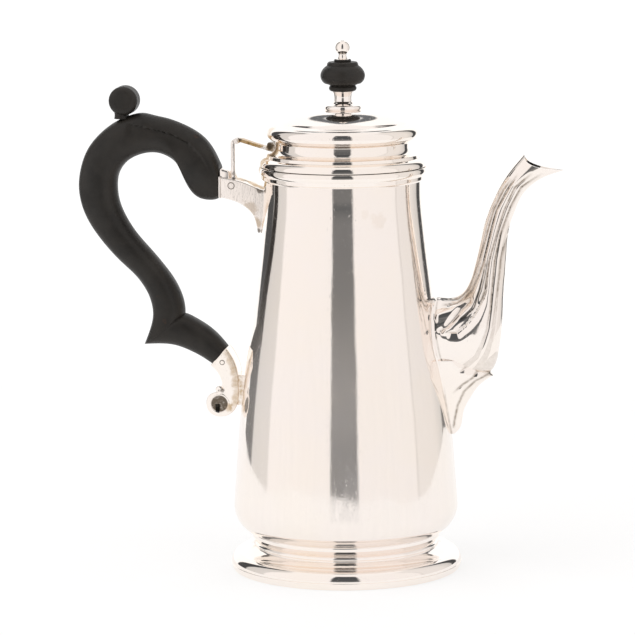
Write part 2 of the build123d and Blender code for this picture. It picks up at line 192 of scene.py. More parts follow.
def piece(node_name, shell, body, material, nodes=()):
    """Turns a shell into an object that rides on a body, for the CAD nodes given or for node_name alone."""
    name = f"{node_name}_form"
    nodes = nodes or (node_name,)
    mesh = smooth_mesh(name, *shell)
    mesh.set_sharp_from_angle(angle=radians(CREASE))
    mesh.materials.append(material)
    thing = placed(name, mesh)
    normals = thing.modifiers.new("flat_faces_stay_flat", "WEIGHTED_NORMAL")
    normals.keep_sharp = True
    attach(thing, body)
    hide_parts(*nodes)
    return thing


def merge(*shells):
    """One list of vertices and faces from several."""
    vertices, faces = [], []
    for some_vertices, some_faces in shells:
        offset = len(vertices)
        vertices.extend(some_vertices)
        faces.extend([index + offset for index in face] for face in some_faces)
    return vertices, faces


def turned(outline, wave=None, axis="Z", centre=(0, 0), around=AROUND):
    """Shell of a closed outline of (radius, height) points turned about Z, or about a line along Y."""
    vertices, rings = [], []
    for radius, height in outline:
        if radius < 0.001:
            rings.append([len(vertices)] * around)
            turns = [0]
        else:
            rings.append(list(range(len(vertices), len(vertices) + around)))
            turns = np.arange(around) * 2 * pi / around
        for turn in turns:
            reach = radius + (wave(turn, height) if wave else 0)
            if axis == "Z":
                vertices.append((reach * cos(turn), reach * sin(turn), height))
            else:
                vertices.append((centre[0] + reach * cos(turn), height, centre[1] + reach * sin(turn)))
    faces = []
    for i, ring in enumerate(rings):
        following = rings[(i + 1) % len(rings)]
        for j in range(around):
            k = (j + 1) % around
            corners = list(dict.fromkeys([ring[j], ring[k], following[k], following[j]]))
            if len(corners) > 2:
                faces.append(corners)
    return vertices, faces


def ring_faces(rings, count, closed=False):
    """Faces between neighbouring rings of count points. Flat ends, or the last ring joined to the first."""
    faces = []
    for i in range(rings if closed else rings - 1):
        following = (i + 1) % rings
        for j in range(count):
            k = (j + 1) % count
            faces.append([i * count + j, i * count + k, following * count + k, following * count + j])
    if not closed:
        faces.append(list(range(count)))
        faces.append([(rings - 1) * count + j for j in reversed(range(count))])
    return faces


def ring_shell(rings, closed=False):
    """Shell of rings of points, all with the same count: flat ends, or the last ring joined to the first."""
    return [tuple(point) for ring in rings for point in ring], ring_faces(len(rings), len(rings[0]), closed)


def slab(outline, half_width, edge, wall=0, steps=5):
    """Shell of an XZ outline made thick along Y, its edges rounded by edge.

    With wall -1 or 1, points of the outline that lie in the body's wall on that side follow its curve.
    """
    outline = np.array(outline)
    before, after = np.roll(outline, 1, axis=0), np.roll(outline, -1, axis=0)
    run = (after - outline) / np.linalg.norm(after - outline, axis=1)[:, None]
    back = (outline - before) / np.linalg.norm(outline - before, axis=1)[:, None]
    area = np.sum(outline[:, 0] * after[:, 1] - after[:, 0] * outline[:, 1])
    inward = np.stack([-(run + back)[:, 1], (run + back)[:, 0]], axis=1) * np.sign(area)
    inward /= np.maximum(np.linalg.norm(inward, axis=1), 0.2)[:, None]
    held = np.zeros(len(outline), bool)
    if wall:
        held = wall * outline[:, 0] < wall_radius(outline[:, 1]) - SINK + 0.05
        inward[held] = 0
    levels = []
    for turn in np.linspace(-pi / 2, 0, steps + 1):
        levels.append((edge * (1 - cos(turn)), edge - half_width + edge * sin(turn)))
    levels += [(inset, -y) for inset, y in reversed(levels)]
    vertices = []
    for inset, y in levels:
        for (x, z), on_wall in zip(outline + inward * inset, held):
            if on_wall:
                x = wall * np.sqrt((wall_radius(z) - SINK) ** 2 - y ** 2)
            vertices.append((x, y, z))
    return vertices, ring_faces(len(levels), len(outline))


def rising(value, over):
    """0 where value is 0, and up to 1 where it reaches over."""
    return np.clip(value / over, 0, 1)


def falling(value, over):
    """1 where value is 0, and down to 0 where it reaches over."""
    return np.clip(1 - value / over, 0, 1)


def stroke(gap, width):
    """Share of a soft line at a distance from its middle."""
    return np.exp(-(gap / width) ** 2)


def from_line(points, line):
    """Distances in XZ from points to a line, how far along it each is (0-1), and on which side (-1 or 1)."""
    line = np.array(line, float)
    starts, steps = line[:-1], np.diff(line, axis=0)
    lengths = np.linalg.norm(steps, axis=1)
    begin = np.concatenate([[0], np.cumsum(lengths)])[:-1]
    offset = points[:, None, :] - starts[None]
    share = np.clip((offset * steps).sum(2) / lengths ** 2, 0, 1)
    gap = offset - share[..., None] * steps
    distance = np.linalg.norm(gap, axis=2)
    nearest = distance.argmin(1)
    rows = np.arange(len(points))
    cross = steps[nearest, 0] * gap[rows, nearest, 1] - steps[nearest, 1] * gap[rows, nearest, 0]
    along = (begin[nearest] + share[rows, nearest] * lengths[nearest]) / lengths.sum()
    return distance[rows, nearest], along, np.sign(cross)


# ---- Materials ----

def node(tree, kind, inputs=None, **settings):
    """A shader node, its settings set and its inputs linked or given a value."""
    made = tree.nodes.new(kind)
    for key, value in settings.items():
        setattr(made, key, value)
    for key, value in (inputs or {}).items():
        if isinstance(value, bpy.types.NodeSocket):
            tree.links.new(value, made.inputs[key])
        else:
            made.inputs[key].default_value = value
    return made


def new_material(name):
    """A material, its tree, its shader and the object's own coordinates."""
    material = bpy.data.materials.new(name)
    material.use_nodes = True
    tree = material.node_tree
    place = node(tree, "ShaderNodeTexCoord").outputs["Object"]
    return material, tree, tree.nodes["Principled BSDF"], place


def calculate(tree, operation, first, second=0.0):
    return node(tree, "ShaderNodeMath", {0: first, 1: second}, operation=operation).outputs[0]


def add(tree, first, second):
    return calculate(tree, "ADD", first, second)


def times(tree, first, second):
    return calculate(tree, "MULTIPLY", first, second)


def measure(tree, operation, first, second):
    """A number from two vectors, such as their distance."""
    return node(tree, "ShaderNodeVectorMath", {0: first, 1: second}, operation=operation).outputs["Value"]


def spread(tree, value, low, high, out_low=0.0, out_high=1.0):
    """value from low to high, spread smoothly from out_low to out_high."""
    return node(tree, "ShaderNodeMapRange", {"Value": value, "From Min": low, "From Max": high,
                "To Min": out_low, "To Max": out_high}, interpolation_type="SMOOTHSTEP").outputs["Result"]


def noise(tree, place, scale, detail=4.0, stretch=(1, 1, 1)):
    where = node(tree, "ShaderNodeMapping", {"Vector": place, "Scale": stretch}).outputs["Vector"]
    return node(tree, "ShaderNodeTexNoise", {"Vector": where, "Scale": scale, "Detail": detail,
                "Roughness": 0.6}).outputs["Fac"]


def mix(tree, share, first, second):
    """Colour from first to second by share."""
    made = node(tree, "ShaderNodeMix", {"Factor": share}, data_type="RGBA")
    for socket, colour in ((6, first), (7, second)):
        if isinstance(colour, bpy.types.NodeSocket):
            tree.links.new(colour, made.inputs[socket])
        else:
            made.inputs[socket].default_value = (*colour, 1)
    return made.outputs[2]


SILVER = (0.965, 0.892, 0.822)
SILVER_COOL = (0.955, 0.89, 0.845)
TARNISH = (0.55, 0.35, 0.14)
# Black of dirt, and of painted shade and painted dark reflections
SOOT_AND_SHADE = (0.10, 0.075, 0.05)
# Brown of tarnish in the spout's grooves, and of painted dark reflections along its leaf
STAIN_AND_SHADE_BROWN = (0.20, 0.15, 0.10)
RAGGED = 0.22                 # how far a stain's edge wanders, as a share of its radius
POLISH = (0.02, 0.07)         # roughness of the silver, from its best to its dullest patches
TARNISH_DULLS = 0.25          # roughness added by tarnish


def silver(name, stretch, scratch_depth, haze, spots=(), dark=(), brightened_low=None, groove_stain_and_shade=0.0, painted_dark_pools=()):
    """Polished silver. Its scratches run along the axis with the smallest number in stretch.

    haze is the strength of the faint tarnish all over. spots and dark are ((x, y, z), radius, strength) in
    millimetres, for brown tarnish and for black dirt, and painted_dark_pools are like dark with a clean edge:
    painted shade and painted dark reflection. brightened_low is the height where a painted brightening of the
    lower silver starts, the height where it is full and how strong it is there.
    groove_stain_and_shade is how strongly the mesh's stain_and_shade attribute shows: tarnish, and painted
    dark reflections.
    """
    material, tree, shader, place = new_material(name)
    shader.inputs["Metallic"].default_value = 1.0
    # Toward the bottom, dull takes metal out of the silver so its pale colour shows diffusely lit: a painted
    # brightening of the lower body, patchy at its edge
    if brightened_low:
        high, low, amount = brightened_low
        height = node(tree, "ShaderNodeSeparateXYZ", {0: place}).outputs[2]
        patchy = spread(tree, noise(tree, place, 260, 6, stretch), 0.3, 0.7, 0.93, 1.07)
        dull = times(tree, spread(tree, height, low * MM, high * MM, amount, 0.02), patchy)
        tree.links.new(calculate(tree, "SUBTRACT", 1.0, dull), shader.inputs["Metallic"])
    fine = noise(tree, place, 1500, 6, stretch)
    coarse = noise(tree, place, 420, 4, stretch)
    cloud = noise(tree, place, 45, 5)
    specks = noise(tree, place, 900, 3)
    ragged_edge = spread(tree, noise(tree, place, 380, 5), 0.3, 0.7, -RAGGED, RAGGED)

    def distance(point):
        return measure(tree, "DISTANCE", place, tuple(part * MM for part in point))

    def near(points, everywhere):
        """Stain round the points, at full strength in the inner part of each, over a share everywhere."""
        total = spread(tree, cloud, 0.62, 0.85, 0.0, everywhere)
        for point, radius, strength in points:
            gap = distance(point)
            torn = add(tree, gap, times(tree, ragged_edge, radius * MM))
            total = add(tree, total, spread(tree, torn, radius * MM * 0.45, radius * MM, strength, 0.0))
        return calculate(tree, "MINIMUM", total, 1.0)

    brown = near(spots, haze)
    clean = mix(tree, spread(tree, noise(tree, place, 22, 3), 0.3, 0.7), SILVER, SILVER_COOL)
    colour = mix(tree, brown, clean, TARNISH)
    if dark:
        black = near(dark, 0.0)
        colour = mix(tree, black, colour, SOOT_AND_SHADE)
        brown = calculate(tree, "MAXIMUM", brown, black)
    # Near-black discs with a clean edge: painted shade and painted dark reflection
    for point, radius, strength in painted_dark_pools:
        gap = distance(point)
        speckled = spread(tree, specks, 0.45, 0.75, strength, strength * 0.75)
        inside = spread(tree, gap, radius * MM * 0.85, radius * MM, 1.0, 0.0)
        colour = mix(tree, times(tree, inside, speckled), colour, SOOT_AND_SHADE)
    # The stain_and_shade attribute paints brown: tarnish along the spout's flutes and seam, and painted dark
    # reflections along its leaf
    if groove_stain_and_shade:
        stain_and_shade = node(tree, "ShaderNodeAttribute", attribute_name="stain_and_shade").outputs["Fac"]
        broken = spread(tree, noise(tree, place, 600, 4), 0.3, 0.65, 0.55, 1.0)
        colour = mix(tree, times(tree, times(tree, stain_and_shade, broken), groove_stain_and_shade), colour, STAIN_AND_SHADE_BROWN)
    tree.links.new(colour, shader.inputs["Base Color"])
    polish = add(tree, spread(tree, coarse, 0.3, 0.7, *POLISH), spread(tree, cloud, 0.4, 0.8, 0.0, 0.03))
    polish = add(tree, polish, times(tree, brown, TARNISH_DULLS))
    nicks = noise(tree, place, 1700, 2, (1, 1, 0.4))
    polish = add(tree, polish, spread(tree, nicks, 0.6, 0.72, 0.0, 0.2))
    tree.links.new(polish, shader.inputs["Roughness"])
    height = add(tree, fine, times(tree, specks, 0.4))
    bump = node(tree, "ShaderNodeBump", {"Strength": 1.0, "Distance": scratch_depth, "Height": height})
    tree.links.new(bump.outputs["Normal"], shader.inputs["Normal"])
    return material


def ebonised_wood(name, stretch):
    """Dark stained hardwood with a dull wax sheen, fine pores along the grain and red-brown wear."""
    material, tree, shader, place = new_material(name)
    grain = noise(tree, place, 260, 8, stretch)
    pores = noise(tree, place, 1100, 4, stretch)
    cloud = noise(tree, place, 55, 4)
    wear = noise(tree, place, 140, 6)
    colour = mix(tree, spread(tree, grain, 0.3, 0.7), (0.011, 0.0095, 0.008), (0.024, 0.020, 0.016))
    colour = mix(tree, spread(tree, cloud, 0.45, 0.75, 0.0, 0.5), colour, (0.034, 0.031, 0.027))
    colour = mix(tree, spread(tree, wear, 0.66, 0.76, 0.0, 0.6), colour, (0.07, 0.030, 0.014))
    tree.links.new(colour, shader.inputs["Base Color"])
    gloss = add(tree, spread(tree, grain, 0.2, 0.8, 0.36, 0.5), spread(tree, pores, 0.5, 0.8, 0.0, 0.15))
    tree.links.new(gloss, shader.inputs["Roughness"])
    shader.inputs["Specular IOR Level"].default_value = 0.3
    height = add(tree, grain, times(tree, pores, 0.5))
    bump = node(tree, "ShaderNodeBump", {"Strength": 1.0, "Distance": 0.00006, "Height": height})
    tree.links.new(bump.outputs["Normal"], shader.inputs["Normal"])
    return material


# brushed_silver is painted brighter below 150 mm, and fully below 70 mm
brushed_silver = silver("brushed_silver", (1, 1, 0.03), 0.000007, 0.05, brightened_low=(150, 70, 0.235),
                        spots=[((20, -31, 163), 4.5, 0.10), ((14, -34, 166), 2.5, 0.06)])
turned_silver = silver("turned_silver", (0.12, 0.12, 1), 0.000008, 0.10,
                       spots=[((-31, -8, 192), 9, 0.9), ((-34, -10, 186), 6, 0.8), ((-36, -8, 180), 5, 0.8),
                              ((-30, -12, 199), 5, 0.4), ((-40, -10, 12), 4, 0.3)],
                       dark=[((-30.5, -3, 192.5), 3.6, 0.8), ((-35.5, -5, 184.5), 3.2, 0.7),
                             ((-36.5, -6, 179), 2.6, 0.6)])
hinge_silver = silver("hinge_silver", (1, 1, 0.3), 0.00001, 0.35,
                      spots=[((-44, -1, 194), 5.5, 0.9), ((-39, -1, 193.5), 4.5, 0.9),
                             ((-50, 0, 178), 3.0, 0.8), ((-33, 0, 193), 5, 0.9)],
                      dark=[((-32.8, -1, 193.0), 3.6, 1.0), ((-46.3, -2, 195.6), 1.3, 0.8),
                            ((-48.9, -2.5, 180), 1.6, 0.5), ((-42.5, -2, 193.6), 0.9, 0.7)])


def both_sides(*marks):
    """Marks at (x, z) on both side faces of the sockets."""
    return [((x, side * SOCKET_HALF, z), radius, strength)
            for (x, z), radius, strength in marks for side in (-1, 1)]


inner_edge = [(point, 3.0, 0.20) for point in curve(
    [(-52.9, 99.4), (-50.6, 95.0), (-49.2, 90.0), (-48.7, 84.0), (-48.8, 78.0), (-50.2, 74.0)], spacing=2.0)]
pad_edge = [((-46.4, z), 2.2, 0.22) for z in range(76, 90, 2)]
socket_silver = silver(
    "socket_silver", (1, 1, 0.3), 0.000005, 0.12,
    spots=[((-47, 0, 177.5), 5.5, 0.8), ((-41, 0, 175.5), 5.5, 0.8), ((-37, 0, 174), 5, 0.9)] + both_sides(
        *inner_edge, *pad_edge, ((-52.8, 74.0), 2.6, 0.5), ((-41.5, 165.0), 4.6, 0.3),
        ((-39.0, 158.5), 3.0, 0.45)),
    dark=[((-44.5, 0, 176.8), 2.2, 0.6)] + both_sides(
        ((-37.0, 173.5), 2.6, 0.75), ((-38.3, 154.5), 1.4, 0.7), ((-55.6, 81.4), 1.5, 0.7)),
    # Painted shade round the two pins, and a painted dark reflection filling the scroll's dish
    painted_dark_pools=both_sides((UPPER_PIN, 1.75, 0.95), (LOWER_PIN, 1.3, 0.95), ((-56.8, 75.2), 4.1, 0.96)))
spout_silver = silver("spout_silver", (1, 1, 0.25), 0.000008, 0.12,
                      spots=[((43, -12, 124), 3.5, 0.6), ((56, -9, 127), 6, 0.3)], groove_stain_and_shade=0.8)
wood = ebonised_wood("ebonised_wood", (0.25, 1, 0.25))
turned_wood = ebonised_wood("turned_ebonised_wood", (0.3, 0.3, 1.0))

# ---- Body and foot ----

# Waves round the body: how many, their turn per millimetre of height, their start and their height
WAVES = ((3, 0.11, 0.4, 0.020), (5, -0.07, 1.3, 0.012), (8, 0.16, 2.1, 0.007), (13, -0.21, 0.2, 0.004),
         (2, 0.31, 3.3, 0.006), (17, 0.37, 4.0, 0.002))


def hammered(turn, height):
    """Slight unevenness that raising by hammer leaves, in millimetres."""
    return sum(size * sin(times * turn + rate * height + start) for times, rate, start, size in WAVES)


def wall(inset):
    """Side of the body from its base up to the mouth, set in by inset."""
    turn = arc((38, 29), 12.9 - inset, -67.3, 4)
    points = [turn[-1]] + [(x - inset, z) for x, z in
                           ((47.9, 68), (44.2, 99.5), (40.1, 132), (36.75, 160), (MOUTH_R, 172))]
    side = curve(points, (-0.07, 1), (0, 1), 1.5)
    return chain(turn, side, [(MOUTH_R - inset, BODY_TOP)])


outer_wall = np.array(wall(0))


def wall_radius(z):
    """Outside radius of the body at a height."""
    return np.interp(z, outer_wall[:, 1], outer_wall[:, 0])


inner_wall = wall(SHEET)
body_outline = chain(outer_wall, reversed(inner_wall),
                     [(41.0, inner_wall[0][1]), (41.0, BASE_Z), (42.6, BASE_Z)])
piece("body_wall", turned(softened(body_outline, 0.25), hammered), "pot", brushed_silver)

rim_outline = chain(bow((MOUTH_R - 0.3, 176.7), (36.9, 178.2), -0.2), [(37.1, 179.9)],
                    bow((37.1, 179.9), (37.6, BODY_TOP), 0.7), [(MOUTH_R - 0.3, BODY_TOP)])
piece("rim_moulding", turned(softened(rim_outline, 0.25)), "pot", turned_silver)

foot_outline = chain(
    bow((52.4, 3.1), (50.2, 7.5), 0.7, 16), [(49.0, 8.0)], bow((49.0, 8.0), (41.9, 10.6), -0.8, 16),
    [(41.9, 11.0)], bow((41.9, 11.0), (41.3, 13.0), 0.45),
    [(40.7, 13.3)], bow((40.7, 13.3), (42.8, 17.2), 0.9),
    [(39.8, BASE_Z), (39.8, 10.6)], bow((39.8, 10.6), (48.0, 6.5), 0.9), [(51.0, 3.1)])
piece("foot_ring", turned(softened(foot_outline, 0.3)), "pot", turned_silver)

band_outline = chain([(52.6, 3.2), (50.0, 3.2), (50.0, 0.4), (50.4, 0), (51.4, 0), (51.8, 0.3)],
                     bow((51.8, 0.3), (52.6, 3.2), 0.15))
piece("foot_band", turned(softened(band_outline[:-1], 0.3)), "pot", turned_silver)

# ---- Lid and finial ----

edge_outline = chain(bow((37.5, LID_Z), (35.2, 187.4), 0.8),
                     [(34.6, 187.7), (BEZEL_R, 187.7), (BEZEL_R, LID_Z)])
piece("lid_rim", turned(softened(edge_outline, 0.25)), "lid", turned_silver)

dome_outline = chain(
    [(34.6, 187.6)], bow((34.2, 189.2), (30.2, 192.2), -1.0), [(30.2, 194.6)],
    bow((31.2, 195.5), (32.2, 201.9), 2.6, 20), bow((32.2, 201.9), (30.6, 202.6), -0.15, 4),
    bow((30.6, 202.6), (28.6, 203.9), -0.2, 4), bow((28.6, 203.9), (8.3, LID_TOP_Z), 1.5, 30),
    [(BOLT_R, LID_TOP_Z), (BOLT_R, LID_TOP_Z - SHEET)], bow((8.3, LID_TOP_Z - SHEET), (27.8, 203.0), -1.4),
    bow((31.4, 201.2), (30.4, 196.3), -2.0), [(29.2, 195.2)], bow((29.2, 191.4), (33.0, 188.5), 0.9),
    [(33.6, 187.6)])
piece("lid_dome", turned(softened(dome_outline, 0.35), hammered), "lid", turned_silver)

base_outline = chain(
    [(BOLT_R, LID_TOP_Z - 0.1), (7.9, LID_TOP_Z - 0.1)], bow((7.9, LID_TOP_Z), (7.7, 211.0), 0.5),
    bow((7.7, 211.0), (4.5, 212.4), -0.5), [(4.0, 212.8)], bow((4.0, 212.8), (4.9, KNOP_Z), -0.4),
    [(BOLT_R, KNOP_Z)])
piece("finial_base", turned(softened(base_outline, 0.3)), "lid", turned_silver)

knop_outline = chain(
    [(BOLT_R, KNOP_Z)], bow((5.2, KNOP_Z), (5.6, 219.7), 0.8), bow((5.6, 219.7), (8.0, 220.7), -0.2),
    curve([(8.0, 220.7), (10.0, 224.2), (7.0, 228.8)], (1, 0.5), (-1, 0.6), 0.4),
    bow((7.0, 228.8), (6.2, WASHER_Z), 0.3), [(BOLT_R, WASHER_Z)])
piece("finial_knop", turned(softened(knop_outline, 0.3)), "lid", turned_wood)

WASHER_TOP = WASHER_Z + 1.1
washer_outline = chain([(BOLT_R, WASHER_Z), (3.8, WASHER_Z), (3.8, WASHER_TOP), (BOLT_R, WASHER_TOP)])
piece("finial_washer", turned(softened(washer_outline, 0.35), around=96), "lid", turned_wood)

ball_outline = arc((0, TOP_Z - BALL_R), BALL_R, -55, 89, 28)
cap_outline = chain(
    [(0, 203.6), (BOLT_R, 203.6), (BOLT_R, WASHER_TOP)], bow((2.9, WASHER_TOP), ball_outline[0], -0.5),
    ball_outline, [(0, TOP_Z)])
piece("finial_cap", turned(softened(cap_outline, 0.2, 35), around=96), "lid", turned_silver)

# ---- Handle sockets ----

def wall_side(side, high, low):
    """Outline points down the body's wall."""
    return [(side * (wall_radius(z) - SINK), z) for z in np.linspace(high, low, round(high - low) + 1)]


upper_outline = chain(
    [(-56, 169.7), (-56, 178.7)], curve([(-56, 178.7), (-44.7, 176.5), (-37.2, 173.2)]),
    wall_side(-1, 172.9, 153.8), curve([(-38.3, 153.6), (-40.3, 161.6), (-46.6, 167.0), (-56, 169.7)]))
lip_outline = chain([(-56, 169.3), (-56, 179.1), (-54.8, 178.9), (-54.8, 169.1)])
hood_outline = chain([(-56, 176), (-56, 181.8), (-55, 182.6), (-51.2, 181.4), (-51.2, 176)])
upper_shells = merge(
    slab(softened(upper_outline[:-1], 0.8, 40), SOCKET_HALF, 0.35, wall=-1),
    slab(softened(lip_outline, 0.5), 6.9, 0.3),
    slab(softened(hood_outline, 0.9), 5.3, 0.8))
piece("upper_socket", upper_shells, "pot", socket_silver)

lower_outline = chain(
    [(-60.7, 92.9), (-53.6, 100.9)],
    curve([(-53.6, 100.9), (-51.2, 97.3), (-48.5, 90.5), (-48.0, 84), (-48.1, 78), (-50.6, 71.6),
           (-56.9, 69.2), (-61.5, 71.3), (-62.9, 75.4), (-61.4, 79.2), (-57.6, 80.6)]),
    [(-55.0, 81.8)], curve([(-55.0, 81.8), (-56.0, 86.5), (-58.0, 90.2), (-60.7, 92.9)]))
curl = turned(softened(chain([(0, -6.2), (1.7, -6.2), (1.7, 6.2), (0, 6.2)]), 0.6), axis="Y",
              centre=(-56.9, 81.6), around=40)
BEAD_R = 0.55                 # of the bead round the dish in the scroll
rims = []
for side in (-1, 1):
    bead = [(3.9 + BEAD_R * cos(turn), side * 6.4 + BEAD_R * sin(turn))
            for turn in np.linspace(0, 2 * pi, 12)[:-1]]
    rims.append(turned(bead, axis="Y", centre=SCROLL, around=96))
lower_shells = merge(slab(softened(lower_outline[:-1], 0.8, 40), SOCKET_HALF, 0.4), curl, *rims)
lower_socket_form = piece("lower_socket", lower_shells, "pot", socket_silver)


def mend(mesh):
    """Closes the slivers and takes out the folded faces that a cut leaves."""
    shape = bmesh.new()
    shape.from_mesh(mesh)
    bmesh.ops.remove_doubles(shape, verts=shape.verts, dist=WELD)
    by_corners = {}
    for face in shape.faces:
        by_corners.setdefault(frozenset(corner.index for corner in face.verts), []).append(face)
    folded = [face for group in by_corners.values() if len(group) > 1 for face in group]
    bmesh.ops.delete(shape, geom=folded, context="FACES")
    open_edges = [edge for edge in shape.edges if edge.is_boundary]
    bmesh.ops.holes_fill(shape, edges=open_edges, sides=8)
    shape.to_mesh(mesh)
    shape.free()


def hollow(thing, vertices, faces):
    """Cuts a closed shell out of an object's mesh."""
    mesh = smooth_mesh("cutter", vertices, faces)
    cutter = placed("cutter", mesh)
    cut = thing.modifiers.new("hollow", "BOOLEAN")
    cut.operation = "DIFFERENCE"
    cut.solver = "EXACT"
    cut.use_self = True
    cut.object = cutter
    bpy.context.view_layer.update()
    seen = thing.evaluated_get(bpy.context.evaluated_depsgraph_get())
    finished = bpy.data.meshes.new_from_object(seen)
    mend(finished)
    thing.modifiers.remove(cut)
    thing.data = finished
    bpy.data.objects.remove(cutter)
    bpy.data.meshes.remove(mesh)


DISH_R = 8.6                  # of the sphere whose cap is the dish in the scroll
DISH_DEPTH = 0.9
half_circle = [(DISH_R * cos(turn), DISH_R * sin(turn)) for turn in np.linspace(-pi / 2, pi / 2, 121)]
ball, ball_faces = turned(half_circle, axis="Y", centre=SCROLL, around=72)
for side in (-1, 1):
    shift = side * (SOCKET_HALF - DISH_DEPTH + DISH_R)
    hollow(lower_socket_form, [(x, y + shift, z) for x, y, z in ball], ball_faces)

pad_outline = chain([(-48.7, 88.3), (-48.7, 74.5)], reversed(wall_side(-1, 88.3, 74.5)))
piece("lower_wall_pad", slab(pad_outline, 5.5, 0.3, wall=-1), "pot", socket_silver)

# ---- Hinge ----

stand_outline = chain([(-50.8, 176.8), (-50.8, 193.9), (-50.2, 195.2), (-49.4, 195.2), (-49.0, 193.5),
                       (-49.0, 178.6), (-48.0, 176.6)])
stand_form = piece("hinge_stand", slab(softened(stand_outline, 0.4), 2.5, 0.3), "pot", hinge_silver)
ROOM_R = 1.7                  # cut out of the stand round the lid's knuckle
ROOM_HALF = 1.3
knuckle_room = [(0, -ROOM_HALF), (ROOM_R, -ROOM_HALF), (ROOM_R, ROOM_HALF), (0, ROOM_HALF)]
hollow(stand_form, *turned(knuckle_room, axis="Y", centre=HINGE, around=48))

# ---- Handle ----

# The wood's inner side, its outer side opposite, and the half width there. The two lists meet in a mitre.
UPPER_WOOD = [
    ((-56.0, 169.0), (-56.0, 184.0), 7.0),
    ((-58.2, 168.0), (-58.4, 189.3), 7.7),
    ((-62.3, 167.8), (-63.2, 196.0), 8.0),
    ((-66.2, 168.9), (-69.5, 200.4), 8.0),
    ((-69.2, 171.6), (-75.5, 203.1), 8.0),
    ((-71.0, 174.9), (-79.6, 204.5), 8.0),
    ((-72.8, 180.0), (-83.6, 205.4), 8.0),
    ((-75.8, 184.6), (-87.5, 206.3), 8.0),
    ((-81.5, 188.2), (-91.8, 207.0), 8.0),
    ((-88.0, 189.1), (-98.0, 205.6), 8.0),
    ((-94.2, 187.6), (-105.2, 202.1), 8.0),
    ((-99.3, 184.4), (-112.6, 195.9), 8.0),
    ((-102.4, 179.9), (-117.5, 189.0), 8.0),
    ((-103.4, 174.7), (-120.3, 180.6), 8.0),
    ((-103.0, 168.6), (-121.0, 172.0), 8.0),
    ((-100.8, 161.8), (-118.6, 161.6), 8.0),
    ((-97.2, 155.3), (-112.6, 151.3), 8.0),
    ((-92.4, 149.0), (-104.3, 141.5), 8.0),
    ((-86.9, 142.8), (-98.9, 136.4), 8.0),
    ((-81.5, 136.2), (-94.4, 131.9), 8.0),
    ((-77.2, 129.9), (-90.7, 126.5), 8.0),
    ((-74.2, 123.1), (-88.5, 121.0), 8.0),
    ((-73.3, 118.9), (-87.8, 114.5), 8.0),
    ((-73.1, 115.7), (-91.9, 101.4), 8.0),
]
LOWER_WOOD = [
    ((-73.1, 115.7), (-91.9, 101.4), 8.0),
    ((-70.6, 114.7), (-83.8, 101.7), 8.0),
    ((-66.4, 112.4), (-77.2, 101.0), 7.9),
    ((-61.7, 109.3), (-71.0, 98.8), 7.7),
    ((-57.6, 105.6), (-65.8, 96.2), 7.4),
    ((-53.6, 100.9), (-60.7, 92.9), 7.0),
]
CREST = [(-97.5, 203.2), (-88.0, 201.1), (-81.6, 199.7), (-75.7, 197.7), (-69.6, 194.4), (-63.5, 188.5),
         (-59.0, 181.5)]
CREST_DEPTH = 1.1
CREST_LOW = 178               # the crest stays above this height
MITRE = [(-73.1, 115.7), (-83.1, 107.3), (-89.0, 103.2)]
MITRE_DEPTH = 0.35


def paired(pairs):
    """Spline through (inner, outer, half width) rows: returns a function from 0-1 to five numbers."""
    rows = np.array([(*inner, *outer, half) for inner, outer, half in pairs], float)
    moves = np.diff(rows, axis=0)
    steps = (np.linalg.norm(moves[:, :2], axis=1) + np.linalg.norm(moves[:, 2:4], axis=1)) / 2
    return cubic(rows, np.concatenate([[0], np.cumsum(steps)]))


def power(value, exponent):
    """Power of the size of value, with its sign kept."""
    return np.sign(value) * np.abs(value) ** exponent


def wood_rings(pairs, count, around=96, square=2.35):
    """Rings of a rounded section between the inner and the outer side."""
    turns = np.arange(around) * 2 * pi / around
    across, wide = power(np.cos(turns), 2 / square), power(np.sin(turns), 2 / square)
    rings = []
    for inner_x, inner_z, outer_x, outer_z, half in paired(pairs)(np.linspace(0, 1, count)):
        middle = np.array([(inner_x + outer_x) / 2, (inner_z + outer_z) / 2])
        reach = np.array([inner_x - outer_x, inner_z - outer_z]) / 2
        flat = middle + across[:, None] * reach
        rings.append(np.stack([flat[:, 0], wide * half, flat[:, 1]], axis=1))
    return rings


def carved(rings):
    """Cuts the crest's lower border and the mitre's line into the sides of the wood."""
    points = np.array(rings)
    shape = points.shape
    points = points.reshape(-1, 3)
    flat = points[:, [0, 2]]
    gap, along, side = from_line(flat, CREST)
    fade = rising(along, 0.06) * rising(1 - along, 0.35)
    above = (side < 0) & (flat[:, 1] > CREST_LOW)
    cut = np.where(above, CREST_DEPTH * np.exp(-gap / 4.0) * rising(gap, 0.35), 0) * fade
    gap, _, _ = from_line(flat, MITRE)
    cut = cut + MITRE_DEPTH * falling(gap, 0.8)
    points[:, 1] -= np.sign(points[:, 1]) * np.minimum(cut, np.abs(points[:, 1]))
    return list(points.reshape(shape))


scroll_outline = chain([(0, -6.1)], bow((3.4, -6.1), (6.5, -2.4), 1.25),
                       bow((6.5, 2.4), (3.4, 6.1), 1.25), [(0, 6.1)])
neck = [((-97.4, 204.5), (-104.2, 204.5), 5.0), ((-98.2, 207.4), (-104.1, 207.2), 4.8),
        ((-98.5, 209.5), (-105.0, 210.0), 5.0), ((-98.0, 212.0), (-105.6, 213.0), 4.0)]
wood_shells = merge(
    ring_shell(carved(wood_rings(UPPER_WOOD, 260))), ring_shell(carved(wood_rings(LOWER_WOOD, 70))),
    turned(scroll_outline, axis="Y", centre=(-99.6, 212.6), around=96), ring_shell(wood_rings(neck, 20, 48)))
piece("handle", wood_shells, "pot", wood)

# ---- Spout ----

